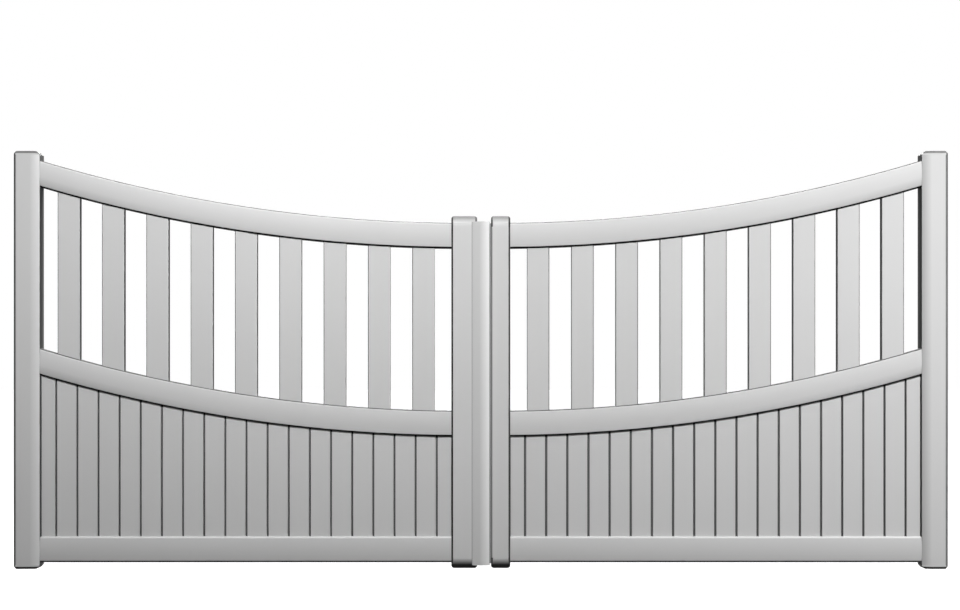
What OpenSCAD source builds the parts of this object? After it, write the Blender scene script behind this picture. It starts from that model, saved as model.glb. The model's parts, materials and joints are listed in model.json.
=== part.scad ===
// Double swing driveway gate in powder-coated aluminium.
// Two mirrored leaves with swept top and middle rails, open pickets above and
// tongue-and-groove boards below, hung on pintle brackets that bolt to two pillars.
//
// Frame: +X runs from the left pillar to the right one, +Y from the road into the
// drive, +Z up. The origin is the centre of the left lower wall plate, on the face
// that lies against the pillar, so the left hinge axis crosses the plane y = 0.

/* [Opening] */
// Clear width between the two pillar faces
passage_w = 3500; // [3000:10:4000]
// Gap between a pillar face and the hinge stile
hinge_gap = 22; // [18:1:40]
// From the middle of the opening to the gap side of the left meeting stile
centre_gap = 14; // [10:1:20]

/* [Stiles] */
// Width of a stile across its face
stile_w = 95; // [85:1:120]
// Depth of a stile from front to back
stile_d = 55; // [50:1:70]
// Radius of the stiles' long edges
stile_edge_r = 7; // [4:0.5:10]
// Width of the face that falls away towards the infill on a hinge stile
ease_w = 34; // [20:1:38]
// How far that face has fallen at the inner edge of the hinge stile
ease_fall = 7; // [4:0.5:9]
// Height of a hinge stile with its caps
hinge_stile_h = 1545; // [1200:1:1900]
// Height of a meeting stile with its caps
meeting_stile_h = 1307; // [1000:1:1900]

/* [Caps] */
// Height of the cap on a hinge stile
hinge_cap_h = 14; // [12:1:25]
// Bevel on the two sides of that cap
hinge_cap_bevel = 11; // [4:0.5:11.5]
// Height of the nosed cap on a meeting stile
meeting_cap_h = 42; // [36:1:46]
// Radius of the nose, front and back
meeting_cap_nose_r = 52; // [48:1:70]
// Radius of the cap's two top side corners
meeting_cap_side_r = 11; // [4:0.5:16]

/* [Rails] */
// Height of a rail across its face
rail_h = 95; // [80:1:110]
// Depth of a rail from front to back
rail_d = 40; // [36:1:46]
// Radius of the rails' long edges
rail_edge_r = 7; // [4:0.5:8]
// How far a rail's front and back faces bulge
rail_crown = 2.5; // [0.5:0.25:3]
// How far a hinge stile stands above the end of the top rail
hinge_stile_rise = 32.5; // [20:0.5:80]
// How far a meeting stile stands above the end of the top rail
meeting_stile_rise = 26; // [20:0.5:80]
// How far the middle rail lies below the top rail
rail_drop = 697; // [500:1:900]
// Underside of the bottom rail above the foot of the stiles
bottom_rail_lift = 22; // [15:1:60]

/* [Infill] */
// Width of a picket
picket_w = 83; // [60:1:100]
// Thickness of a picket
picket_d = 22; // [15:1:26]
// Radius of a picket's long edges
picket_edge_r = 3; // [1:0.5:5]
// Distance from one picket to the next
picket_pitch = 164.5; // [130:0.5:200]
// Distance from one board joint to the next
board_pitch = 78.5; // [60:0.5:120]
// Thickness of a board
board_d = 15; // [12:0.5:20]
// Open width of the joint between two boards
joint_w = 5; // [3:0.5:8]
// Bevel on the long edges of a board
board_bevel = 2; // [1:0.25:3]
// Thickness of a board's tongue
tongue_d = 4; // [3:0.5:5]
// How far a tongue reaches into the next board
tongue_reach = 6; // [4:0.5:10]
// Set-back of the tongue behind the middle of the board
tongue_back = 3; // [0:0.25:3]
// How far pickets and boards are let into the rails
tenon = 12; // [8:1:20]
// Room around a tenon, a tongue or a board end
seat_clear = 0.3; // [0.2:0.1:0.8]

/* [Cover strip] */
// Width of the strip that covers the gap between the leaves
strip_w = 66; // [64:1:80]
// Thickness of the strip in the middle
strip_t = 12; // [9:0.5:16]
// Radius of the strip's two edges
strip_edge_r = 4; // [2:0.5:6]
// End of the strip below the top of the meeting stile
strip_top_inset = 24; // [10:1:40]
// End of the strip above the foot of the meeting stile
strip_foot_inset = 15; // [8:1:40]
// Running clearance between the strip and the right leaf
strip_clear = 5; // [5:0.5:8]

/* [Hinges] */
// Lower hinge above the foot of the stile
lower_hinge_lift = 180; // [130:1:300]
// Upper hinge below the top of the stile
upper_hinge_drop = 245; // [150:1:400]
// Hinge axis behind the back of the stile
axis_back = 37; // [32:1:50]
// Hinge axis in from the outer side of the stile
axis_inset = 25; // [20:1:32]
// Radius of the hinge pin
pin_r = 8; // [6:0.5:9]
// Running clearance of the pin in its knuckle
pin_clear = 0.05; // [0.02:0.01:0.09]
// Outer radius of the knuckle and of the arm's round end
knuckle_r = 15; // [13:0.5:18]
// Height of the knuckle
knuckle_h = 50; // [40:1:70]
// Length of pin that stands above the knuckle
pin_proud = 6; // [2:0.5:12]
// Bevel at the top of the pin
pin_bevel = 2; // [1:0.5:3]
// Height of the bracket's arm
arm_h = 25; // [18:1:35]
// Wall plate across, along Y
plate_w = 60; // [50:1:80]
// Wall plate height
plate_h = 180; // [160:1:220]
// Wall plate thickness
plate_t = 8; // [5:0.5:10]
// Corner radius of wall plates and straps
plate_corner_r = 6; // [2:0.5:10]
// Radius of the wall plate's bolt holes
bolt_r = 5.5; // [4:0.25:7]
// Bolt holes in from the sides of the plate
bolt_side = 12; // [9:0.5:15]
// Bolt holes in from the top and foot of the plate
bolt_end = 20; // [14:0.5:24]
// Width of the strap that is screwed to the back of the stile
strap_w = 50; // [44:1:52]
// Height of the strap
strap_h = 120; // [90:1:160]
// Thickness of the strap
strap_t = 6; // [4:0.5:8]
// Thickness of the web between strap and knuckle
web_t = 10; // [6:0.5:14]

/* [Hidden] */

coat = [0.78, 0.79, 0.80];
cap_coat = [0.74, 0.75, 0.76];
zinc = [0.52, 0.54, 0.56];

// Places across the opening. The right leaf is drawn as a left one and mirrored.
middle_x = passage_w / 2;
axis_x = hinge_gap + axis_inset;
hinge_stile_x = hinge_gap;
infill_x0 = hinge_gap + stile_w;
infill_x1 = middle_x - centre_gap - stile_w;
infill_mid = (infill_x0 + infill_x1) / 2;
infill_w = infill_x1 - infill_x0;
left_gap_side = middle_x - centre_gap;
right_gap_side = middle_x - strip_w / 2 - strip_clear;

// Places through the thickness of a leaf.
leaf_back = -axis_back;
leaf_front = leaf_back - stile_d;
leaf_mid = (leaf_back + leaf_front) / 2;

// Heights. The lower hinge is level with the origin.
foot_z = -lower_hinge_lift;
hinge_span = hinge_stile_h - lower_hinge_lift - upper_hinge_drop;

// Sweep: an arc that is level over the meeting stile and ends at the hinge stile. Its centre lies above the
// rails where the hinge stiles are the taller ones, and below them where the gate is arched instead.
sweep_x = left_gap_side - stile_w / 2;
sweep_run = sweep_x - infill_x0;
sweep_rise = hinge_stile_h - hinge_stile_rise - meeting_stile_h + meeting_stile_rise;
sweep_dir = sweep_rise < 0 ? -1 : 1;
sweep_r = (sweep_run * sweep_run + sweep_rise * sweep_rise) / (2 * abs(sweep_rise));
top_sweep_z = foot_z + meeting_stile_h - meeting_stile_rise + sweep_dir * sweep_r;
middle_sweep_z = top_sweep_z - rail_drop;
bottom_rail_z = foot_z + bottom_rail_lift;
bottom_rail_top = bottom_rail_z + rail_h;

// Patterns, both centred between the stiles.
pickets_each_side = floor((infill_w - picket_w) / 2 / picket_pitch);
picket_xs = [for (i = [-pickets_each_side : pickets_each_side]) infill_mid + i * picket_pitch];
joints_each_side = floor(infill_w / 2 / board_pitch);
joint_xs = [for (i = [-joints_each_side : joints_each_side]) infill_mid + i * board_pitch];

bolt_across = plate_w - 2 * bolt_side;
bolt_up = plate_h - 2 * bolt_end;
arm_top = -knuckle_h / 2 - seat_clear;
knuckle_z = arm_top + seat_clear;

corner_steps = 6;
curve_steps = 10;
arc_steps = 1440;
past = 1;

// Outlines

function arc(centre, r, a0, a1, steps) =
    [for (i = [0 : steps]) let (a = a0 + (a1 - a0) * i / steps) centre + r * [cos(a), sin(a)]];

// A bar with round edges, from x0 to x1 and centred on y = 0.
function bar_outline(x0, x1, depth, r) = let (y = depth / 2 - r) concat(
    arc([x0 + r, -y], r, 180, 270, corner_steps),
    arc([x1 - r, -y], r, 270, 360, corner_steps),
    arc([x1 - r, y], r, 0, 90, corner_steps),
    arc([x0 + r, y], r, 90, 180, corner_steps));

// A hinge stile: round edges towards the pillar, faces that fall away towards the infill.
function ease_curve() = [for (i = [0 : curve_steps]) let (t = i / curve_steps)
    [stile_w - ease_w * (1 - t), -stile_d / 2 + ease_fall * t * t]];
function hinge_stile_outline() =
    let (ease = ease_curve(), y = stile_d / 2 - stile_edge_r) concat(
        arc([stile_edge_r, -y], stile_edge_r, 180, 270, corner_steps),
        ease,
        [for (i = [curve_steps : -1 : 0]) [ease[i].x, -ease[i].y]],
        arc([stile_edge_r, y], stile_edge_r, 90, 180, corner_steps));

// A rail across its height: flat top and underside, bulged front and back, round edges.
function crown_face(side) = let (half = rail_h / 2 - rail_edge_r)
    [for (i = [1 : curve_steps - 1]) let (t = side * (1 - 2 * i / curve_steps))
        [t * half, side * (rail_d / 2 - rail_crown * t * t)]];
function rail_outline() =
    let (z = rail_h / 2 - rail_edge_r, y = rail_d / 2 - rail_crown - rail_edge_r, r = rail_edge_r) concat(
        arc([z, y], r, 0, 90, corner_steps),
        crown_face(1),
        arc([-z, y], r, 90, 180, corner_steps),
        arc([-z, -y], r, 180, 270, corner_steps),
        crown_face(-1),
        arc([z, -y], r, 270, 360, corner_steps));

// One board across its width, with a slot on its left side and a tongue on its right.
function board_outline(x0, x1, slotted, tongued) =
    let (y = board_d / 2, b = board_bevel, t0 = tongue_back - tongue_d / 2, t1 = tongue_back + tongue_d / 2,
         reach = joint_w + tongue_reach, depth = tongue_reach + seat_clear) concat(
        [[x0 + b, -y], [x1 - b, -y], [x1, -y + b]],
        tongued ? [[x1, t0], [x1 + reach, t0], [x1 + reach, t1], [x1, t1]] : [],
        [[x1, y - b], [x1 - b, y], [x0 + b, y], [x0, y - b]],
        slotted ? [[x0, t1 + seat_clear], [x0 + depth, t1 + seat_clear],
                   [x0 + depth, t0 - seat_clear], [x0, t0 - seat_clear]] : [],
        [[x0, -y + b]]);

// The cover strip about the middle of its flat back: a bulged front that runs into round edges.
function strip_outline() =
    let (x = strip_w / 2 - strip_edge_r, e = strip_edge_r,
         front_r = (x * x + strip_t * strip_t - e * e) / (2 * (strip_t - e)),
         edge_turn = atan2(front_r - strip_t, x),
         front = arc([0, front_r - strip_t], front_r, 180 + edge_turn, 360 - edge_turn, 3 * curve_steps)) concat(
        arc([-x, 0], e, 180, 180 + edge_turn, corner_steps),
        [for (i = [1 : len(front) - 2]) front[i]],
        arc([x, 0], e, 360 - edge_turn, 360, corner_steps));

// Helpers

module right_side() {
    translate([passage_w, 0, 0]) mirror([1, 0, 0]) children();
}

// Lays a section that was drawn in X and Z on its side, through the whole leaf.
module through_leaf() {
    translate([0, leaf_back + past, 0]) rotate([90, 0, 0]) linear_extrude(stile_d + 2 * past) children();
}

// A block that takes in the whole infill of a leaf.
module infill_block(y0, y1) {
    translate([infill_x0, y0, foot_z]) cube([infill_w, y1 - y0, hinge_stile_h + meeting_stile_h]);
}

// All that lies above a curve, which runs a stated distance below the upper edge of a swept rail.
module above_curve(centre_z, below) {
    y0 = leaf_front - past;
    y1 = leaf_back + past;
    if (sweep_dir > 0)
        translate([sweep_x, y1, centre_z]) rotate([90, 0, 0])
            cylinder(h = y1 - y0, r = sweep_r + below, $fn = arc_steps);
    else
        difference() {
            infill_block(y0, y1);
            translate([sweep_x, y1 + past, centre_z]) rotate([90, 0, 0])
                cylinder(h = y1 - y0 + 2 * past, r = sweep_r - below, $fn = arc_steps);
        }
}

// The rail's section taken round the sweep, from stile to stile.
module swept_rail(centre_z) {
    spread = asin(sweep_run / (sweep_r - rail_h)) + 1;
    start = sweep_dir > 0 ? 270 - spread : 89;
    intersection() {
        translate([sweep_x, leaf_mid, centre_z]) rotate([90, 0, 0]) rotate([0, 0, start])
            rotate_extrude(angle = spread + 1, $fn = arc_steps)
                translate([sweep_r + sweep_dir * rail_h / 2, 0]) polygon(rail_outline());
        infill_block(leaf_front - past, leaf_back + past);
    }
}

// Frame

module hinge_stile() {
    color(coat) translate([hinge_stile_x, leaf_mid, foot_z + hinge_cap_h])
        linear_extrude(hinge_stile_h - 2 * hinge_cap_h) polygon(hinge_stile_outline());
}

module meeting_stile(gap_side) {
    color(coat) translate([0, leaf_mid, foot_z + meeting_cap_h])
        linear_extrude(meeting_stile_h - 2 * meeting_cap_h)
            polygon(bar_outline(infill_x1, gap_side, stile_d, stile_edge_r));
}

// Caps are drawn standing on z = 0. The foot caps are the same pieces upside down.
module hinge_stile_cap() {
    b = hinge_cap_bevel;
    color(cap_coat) translate([hinge_stile_x, 0, 0]) intersection() {
        translate([0, leaf_mid, 0]) linear_extrude(hinge_cap_h) polygon(hinge_stile_outline());
        through_leaf() polygon([[0, 0], [stile_w, 0], [stile_w, hinge_cap_h - b],
            [stile_w - b, hinge_cap_h], [b, hinge_cap_h], [0, hinge_cap_h - b]]);
    }
}

function nose_outline() =
    let (r = meeting_cap_nose_r, rise = asin(meeting_cap_h / meeting_cap_nose_r), y = stile_d / 2) concat(
        arc([y - r, 0], r, 0, rise, curve_steps),
        arc([r - y, 0], r, 180 - rise, 180, curve_steps));

module meeting_stile_cap(gap_side) {
    r = meeting_cap_side_r;
    color(cap_coat) intersection() {
        translate([0, leaf_mid, 0]) linear_extrude(meeting_cap_h)
            polygon(bar_outline(infill_x1, gap_side, stile_d, stile_edge_r));
        through_leaf() polygon(concat([[infill_x1, 0], [gap_side, 0]],
            arc([gap_side - r, meeting_cap_h - r], r, 0, 90, corner_steps),
            arc([infill_x1 + r, meeting_cap_h - r], r, 90, 180, corner_steps)));
        translate([infill_x1 - past, leaf_mid, 0]) rotate([90, 0, 90])
            linear_extrude(gap_side - infill_x1 + 2 * past) polygon(nose_outline());
    }
}

module on_top(stile_h, cap_h) {
    translate([0, 0, foot_z + stile_h - cap_h]) children();
}

module at_foot(cap_h) {
    translate([0, 0, foot_z + cap_h]) mirror([0, 0, 1]) children();
}

// Room for the pickets' tenons and for the boards' ends, from foot to top. Each rail takes its share.
module picket_room() {
    for (x = picket_xs)
        translate([x - picket_w / 2 - seat_clear, leaf_mid - picket_d / 2 - seat_clear, foot_z])
            cube([picket_w + 2 * seat_clear, picket_d + 2 * seat_clear, hinge_stile_h + meeting_stile_h]);
}

module board_room() {
    infill_block(leaf_mid - board_d / 2 - seat_clear, leaf_mid + board_d / 2 + seat_clear);
}

module top_rail() {
    color(coat) difference() {
        swept_rail(top_sweep_z);
        difference() {
            picket_room();
            above_curve(top_sweep_z, rail_h - tenon - seat_clear);
        }
    }
}

module middle_rail() {
    color(coat) difference() {
        swept_rail(middle_sweep_z);
        intersection() {
            picket_room();
            above_curve(middle_sweep_z, tenon + seat_clear);
        }
        difference() {
            board_room();
            above_curve(middle_sweep_z, rail_h - tenon - seat_clear);
        }
    }
}

module bottom_rail() {
    color(coat) difference() {
        translate([infill_x0, leaf_mid, bottom_rail_z + rail_h / 2]) rotate([90, 0, 90])
            linear_extrude(infill_w) rotate(90) polygon(rail_outline());
        intersection() {
            board_room();
            translate([infill_x0, leaf_front, bottom_rail_top - tenon - seat_clear])
                cube([infill_w, stile_d, tenon + seat_clear + past]);
        }
    }
}

// Infill

module pickets() {
    color(coat) difference() {
        intersection() {
            for (x = picket_xs)
                translate([0, leaf_mid, foot_z]) linear_extrude(hinge_stile_h + meeting_stile_h)
                    polygon(bar_outline(x - picket_w / 2, x + picket_w / 2, picket_d, picket_edge_r));
            above_curve(middle_sweep_z, tenon);
        }
        above_curve(top_sweep_z, rail_h - tenon);
    }
}

module boards() {
    last = len(joint_xs) - 1;
    color(coat) difference() {
        for (i = [-1 : last]) {
            x0 = i < 0 ? infill_x0 + seat_clear : joint_xs[i] + joint_w / 2;
            x1 = i == last ? infill_x1 - seat_clear : joint_xs[i + 1] - joint_w / 2;
            translate([0, leaf_mid, bottom_rail_top - tenon]) linear_extrude(hinge_stile_h)
                polygon(board_outline(x0, x1, i >= 0, i < last));
        }
        above_curve(middle_sweep_z, rail_h - tenon);
    }
}

// Cover strip, fixed to the front of the left meeting stile and reaching over the gap between the leaves.
module cover_strip() {
    color(coat) translate([middle_x, leaf_front, foot_z + strip_foot_inset])
        linear_extrude(meeting_stile_h - strip_top_inset - strip_foot_inset) polygon(strip_outline());
}

// Hinges, drawn about the height of the lower one

module at_upper_hinge() {
    translate([0, 0, hinge_span]) children();
}

// Wall plate, arm and pin of one bracket, welded together.
module bracket() {
    color(zinc) difference() {
        union() {
            translate([plate_t, 0, 0]) rotate([0, -90, 0]) linear_extrude(plate_t)
                polygon(bar_outline(-plate_h / 2, plate_h / 2, plate_w, plate_corner_r));
            translate([0, -knuckle_r, arm_top - arm_h]) cube([axis_x, 2 * knuckle_r, arm_h]);
            translate([axis_x, 0, arm_top - arm_h]) cylinder(h = arm_h, r = knuckle_r, $fn = 64);
            translate([axis_x, 0, arm_top - past]) cylinder(h = knuckle_h + seat_clear + past, r = pin_r, $fn = 64);
            translate([axis_x, 0, knuckle_z + knuckle_h]) rotate_extrude($fn = 64)
                polygon([[0, 0], [pin_r, 0], [pin_r, pin_proud - pin_bevel],
                    [pin_r - pin_bevel, pin_proud], [0, pin_proud]]);
        }
        for (y = [-1, 1], z = [-1, 1])
            translate([-past, y * bolt_across / 2, z * bolt_up / 2]) rotate([0, 90, 0])
                cylinder(h = plate_t + 2 * past, r = bolt_r, $fn = 48);
    }
}

// Strap, web and knuckle of one hinge, welded together.
module strap() {
    color(zinc) difference() {
        union() {
            translate([hinge_stile_x + stile_edge_r, leaf_back + strap_t, 0]) rotate([90, 0, 0])
                linear_extrude(strap_t) polygon(bar_outline(0, strap_w, strap_h, plate_corner_r));
            translate([axis_x - web_t / 2, leaf_back, knuckle_z]) cube([web_t, axis_back, knuckle_h]);
            translate([axis_x, 0, knuckle_z]) cylinder(h = knuckle_h, r = knuckle_r, $fn = 64);
        }
        translate([axis_x, 0, knuckle_z - past]) cylinder(h = knuckle_h + 2 * past, r = pin_r + pin_clear, $fn = 64);
    }
}

// Brackets on the pillars
bracket();  // left_lower_bracket
at_upper_hinge() bracket();  // left_upper_bracket
right_side() bracket();  // right_lower_bracket
right_side() at_upper_hinge() bracket();  // right_upper_bracket

// Left leaf
strap();  // left_lower_strap
at_upper_hinge() strap();  // left_upper_strap
hinge_stile();  // left_hinge_stile
on_top(hinge_stile_h, hinge_cap_h) hinge_stile_cap();  // left_hinge_stile_top_cap
at_foot(hinge_cap_h) hinge_stile_cap();  // left_hinge_stile_foot_cap
meeting_stile(left_gap_side);  // left_meeting_stile
on_top(meeting_stile_h, meeting_cap_h) meeting_stile_cap(left_gap_side);  // left_meeting_stile_top_cap
at_foot(meeting_cap_h) meeting_stile_cap(left_gap_side);  // left_meeting_stile_foot_cap
top_rail();  // left_top_rail
middle_rail();  // left_middle_rail
bottom_rail();  // left_bottom_rail
pickets();  // left_pickets
boards();  // left_boards
cover_strip();

// Right leaf
right_side() strap();  // right_lower_strap
right_side() at_upper_hinge() strap();  // right_upper_strap
right_side() hinge_stile();  // right_hinge_stile
right_side() on_top(hinge_stile_h, hinge_cap_h) hinge_stile_cap();  // right_hinge_stile_top_cap
right_side() at_foot(hinge_cap_h) hinge_stile_cap();  // right_hinge_stile_foot_cap
right_side() meeting_stile(right_gap_side);  // right_meeting_stile
right_side() on_top(meeting_stile_h, meeting_cap_h) meeting_stile_cap(right_gap_side);  // right_meeting_stile_top_cap
right_side() at_foot(meeting_cap_h) meeting_stile_cap(right_gap_side);  // right_meeting_stile_foot_cap
right_side() top_rail();  // right_top_rail
right_side() middle_rail();  // right_middle_rail
right_side() bottom_rail();  // right_bottom_rail
right_side() pickets();  // right_pickets
right_side() boards();  // right_boards
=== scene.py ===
# %% [markdown]
# A swept driveway gate, dressed for its picture.
# The gate is a pair of leaves in pale grey coated aluminium. Two rails of each leaf dip in one long
# curve, pickets stand between them, and tongue-and-groove boards close the lower part.
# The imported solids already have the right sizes, so this lesson adds what a solid model leaves out:
# soft edges, the coat, the zinc of the hinges, their screws, and the light.

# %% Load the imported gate
import json
import math

import bmesh
import bpy
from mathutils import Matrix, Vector

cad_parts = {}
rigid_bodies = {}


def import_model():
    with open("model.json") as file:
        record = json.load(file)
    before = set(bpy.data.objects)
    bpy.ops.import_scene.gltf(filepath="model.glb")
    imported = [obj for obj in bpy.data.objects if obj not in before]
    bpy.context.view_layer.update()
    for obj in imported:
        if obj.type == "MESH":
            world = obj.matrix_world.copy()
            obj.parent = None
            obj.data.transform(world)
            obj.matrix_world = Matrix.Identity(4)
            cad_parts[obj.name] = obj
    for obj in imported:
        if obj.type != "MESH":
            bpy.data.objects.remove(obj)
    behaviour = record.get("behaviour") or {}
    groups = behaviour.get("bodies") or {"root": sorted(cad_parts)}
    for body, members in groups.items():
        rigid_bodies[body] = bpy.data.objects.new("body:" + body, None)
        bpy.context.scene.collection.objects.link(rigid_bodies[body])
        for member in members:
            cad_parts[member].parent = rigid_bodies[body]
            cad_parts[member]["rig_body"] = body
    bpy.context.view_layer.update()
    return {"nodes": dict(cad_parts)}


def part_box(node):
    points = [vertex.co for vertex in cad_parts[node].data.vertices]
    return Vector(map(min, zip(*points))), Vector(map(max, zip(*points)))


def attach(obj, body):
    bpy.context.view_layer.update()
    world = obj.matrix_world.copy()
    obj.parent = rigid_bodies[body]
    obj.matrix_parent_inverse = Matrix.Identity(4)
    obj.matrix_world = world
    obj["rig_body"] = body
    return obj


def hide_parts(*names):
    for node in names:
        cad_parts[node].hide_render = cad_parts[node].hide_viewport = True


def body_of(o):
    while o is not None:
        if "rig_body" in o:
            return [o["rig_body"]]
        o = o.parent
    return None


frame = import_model()
nodes = frame["nodes"]
scene = bpy.context.scene

# %% [markdown]
# Sizes. A gate maker measures the opening and the frame first and cuts the infill to fit.
# The same is done here: the stiles and the bottom rail of the solids give the room between them.

# %% Measure the frame
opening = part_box("right_lower_bracket")[1].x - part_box("left_lower_bracket")[0].x
middle_x = opening / 2
infill_x0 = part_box("left_hinge_stile")[1].x
infill_x1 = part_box("left_meeting_stile")[0].x
infill_mid = (infill_x0 + infill_x1) / 2
rail_low, rail_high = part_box("left_bottom_rail")
rail_h = rail_high.z - rail_low.z
rail_d = rail_high.y - rail_low.y
leaf_mid = (rail_low.y + rail_high.y) / 2
foot_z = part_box("left_hinge_stile_foot_cap")[0].z
head_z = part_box("left_hinge_stile_top_cap")[1].z
print("infill from", round(infill_x0, 4), "to", round(infill_x1, 4))
print("rail", round(rail_h, 4), "by", round(rail_d, 4), "feet at", round(foot_z, 4), "heads at", round(head_z, 4))

# %% [markdown]
# The sweep. A bender's arc is set out from its run and its rise, so the radius comes from those two.
# It is level over the middle of the meeting stile and ends at the hinge stile.
# The middle rail is the same arc, lower by the drop between the two rails.

# %% Work out the sweep
rail_foot_z, rail_end_z = (corner.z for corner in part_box("left_top_rail"))
level_x = (infill_x1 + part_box("left_meeting_stile")[1].x) / 2
level_z = rail_foot_z + rail_h
rail_drop = rail_end_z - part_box("left_middle_rail")[1].z
sweep_run = level_x - infill_x0
sweep_rise = rail_end_z - level_z
sweep_r = (sweep_run ** 2 + sweep_rise ** 2) / (2 * sweep_rise)
top_centre_z = level_z + sweep_r
middle_centre_z = top_centre_z - rail_drop
print("sweep radius", round(sweep_r, 3), "centre", round(level_x, 4), round(top_centre_z, 3))

# %% [markdown]
# Node trees are easier to read when one short line makes one node. put() adds a node and fills its
# inputs with numbers or with links, first() gives the first output of such a node, and calc() adds a sum.
# They work for materials and for geometry.

# %% Helpers for nodes
def fill(tree, node, inputs):
    for key, value in inputs.items():
        if isinstance(value, bpy.types.NodeSocket):
            tree.links.new(value, node.inputs[key])
        else:
            node.inputs[key].default_value = value


def put(tree, kind, inputs=None, **settings):
    node = tree.nodes.new(kind)
    for key, value in settings.items():
        setattr(node, key, value)
    fill(tree, node, inputs or {})
    return node


def first(tree, kind, inputs=None, **settings):
    return put(tree, kind, inputs, **settings).outputs[0]


def calc(tree, operation, *values):
    return first(tree, "ShaderNodeMath", dict(enumerate(values)), operation=operation)


def vector(tree, **parts):
    return first(tree, "ShaderNodeCombineXYZ", parts)


print("helpers", [helper.__name__ for helper in (fill, put, first, calc, vector)])

# %% [markdown]
# Groups. A group is a tree with named inputs and outputs, so one drawing can serve many pieces.
# new_tree() makes an empty one from a table of inputs with their usual values.

# %% A helper for groups
def new_tree(name, kind, inputs, outputs):
    tree = bpy.data.node_groups.new(name, kind)
    sockets = {type(None): "NodeSocketGeometry", float: "NodeSocketFloat", int: "NodeSocketInt",
               bool: "NodeSocketBool", tuple: "NodeSocketColor"}
    for label, value in inputs.items():
        made = tree.interface.new_socket(label, in_out="INPUT", socket_type=sockets[type(value)])
        if value is not None:
            made.default_value = value
    for label, socket in outputs.items():
        tree.interface.new_socket(label, in_out="OUTPUT", socket_type=socket)
    return tree, tree.nodes.new("NodeGroupInput").outputs, tree.nodes.new("NodeGroupOutput").inputs


def labels(tree, side):
    return [item.name for item in tree.interface.items_tree if item.in_out == side]


print("groups are made by", new_tree.__name__)

# %% [markdown]
# Finishes. No real surface is even, so every finish starts from noise that is fixed to the piece, swings
# to both sides of a mean, and scales a colour.

# %% Helpers for finishes
def on_piece(tree):
    return put(tree, "ShaderNodeTexCoord").outputs["Object"]


def noise(tree, place, scale, detail, roughness=0.5):
    return first(tree, "ShaderNodeTexNoise", {
        "Vector": place, "Scale": scale, "Detail": detail, "Roughness": roughness})


def around_zero(tree, value, amount):
    return calc(tree, "MULTIPLY", calc(tree, "SUBTRACT", value, 0.5), amount)


def scaled(tree, colour, factor):
    return first(tree, "ShaderNodeVectorMath", {0: colour, "Scale": factor}, operation="SCALE")


print("finishes use", [helper.__name__ for helper in (on_piece, noise, around_zero, scaled)])

# %% [markdown]
# The coat. Powder is sprayed on dry and melted in an oven, so it dries to a satin skin with a fine
# orange-peel ripple about 2 mm across, and its grey drifts a little from one place to the next.
# Frame, boards and caps share that skin, so it is a group: it takes a grey and gives back colour,
# roughness and height.

# %% A group for the skin of the coat
skin, skin_in, skin_out = new_tree(
    "coat_skin", "ShaderNodeTree",
    {"Grey": (0.6, 0.6, 0.6, 1.0), "Drift": 0.03, "Speck": 0.03, "Gloss": 0.4, "Ripple": 1.0},
    {"Colour": "NodeSocketColor", "Roughness": "NodeSocketFloat", "Height": "NodeSocketFloat"})
cloud_scale, speck_scale, peel_scale = 2.3, 1100.0, 420.0
gloss_drift = 0.16
place = on_piece(skin)
cloud = noise(skin, place, cloud_scale, 3.0)
speck = noise(skin, place, speck_scale, 1.0)
peel = noise(skin, place, peel_scale, 2.0, 0.4)
drift = around_zero(skin, cloud, skin_in["Drift"])
grit = around_zero(skin, speck, skin_in["Speck"])
level = calc(skin, "ADD", calc(skin, "ADD", drift, grit), 1.0)
skin.links.new(scaled(skin, skin_in["Grey"], level), skin_out["Colour"])
gloss = calc(skin, "ADD", skin_in["Gloss"], around_zero(skin, cloud, gloss_drift))
skin.links.new(gloss, skin_out["Roughness"])
skin.links.new(calc(skin, "MULTIPLY", peel, skin_in["Ripple"]), skin_out["Height"])
print("group", skin.name, "puts out", labels(skin, "OUTPUT"))

# %% [markdown]
# Road dust. Rain splashes a thin film on the lowest hand's breadth of a gate, in patches.
# Coat and zinc both carry it, so it is a second group, laid over whatever colour it is given.

# %% A group for the dust near the ground
dust, dust_in, dust_out = new_tree(
    "road_dust", "ShaderNodeTree",
    {"Colour": (0.6, 0.6, 0.6, 1.0), "Roughness": 0.4, "Ground": foot_z, "Reach": 0.14, "Amount": 0.07},
    {"Colour": "NodeSocketColor", "Roughness": "NodeSocketFloat"})
earth, earth_roughness, patch_scale = (0.40, 0.38, 0.35, 1.0), 0.5, 26.0
place = on_piece(dust)
height = put(dust, "ShaderNodeSeparateXYZ", {"Vector": place}).outputs["Z"]
dust_top = calc(dust, "ADD", dust_in["Ground"], dust_in["Reach"])
near = first(dust, "ShaderNodeMapRange", {
    "Value": height, "From Min": dust_in["Ground"], "From Max": dust_top, "To Min": 1.0, "To Max": 0.0},
    interpolation_type="SMOOTHSTEP")
patch = noise(dust, place, patch_scale, 4.0)
film = calc(dust, "MULTIPLY", calc(dust, "MULTIPLY", near, patch), dust_in["Amount"])
# A mix node has sockets for each type of data, and these are its numbers for colours.
mix_factor, mix_a, mix_b, mix_result = 0, 6, 7, 2
dusty = put(dust, "ShaderNodeMix", {mix_factor: film, mix_a: dust_in["Colour"], mix_b: earth}, data_type="RGBA")
dust.links.new(dusty.outputs[mix_result], dust_out["Colour"])
rougher = calc(dust, "ADD", dust_in["Roughness"], calc(dust, "MULTIPLY", film, earth_roughness))
dust.links.new(rougher, dust_out["Roughness"])
print("group", dust.name, "starts at", round(foot_z, 3))
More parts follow.
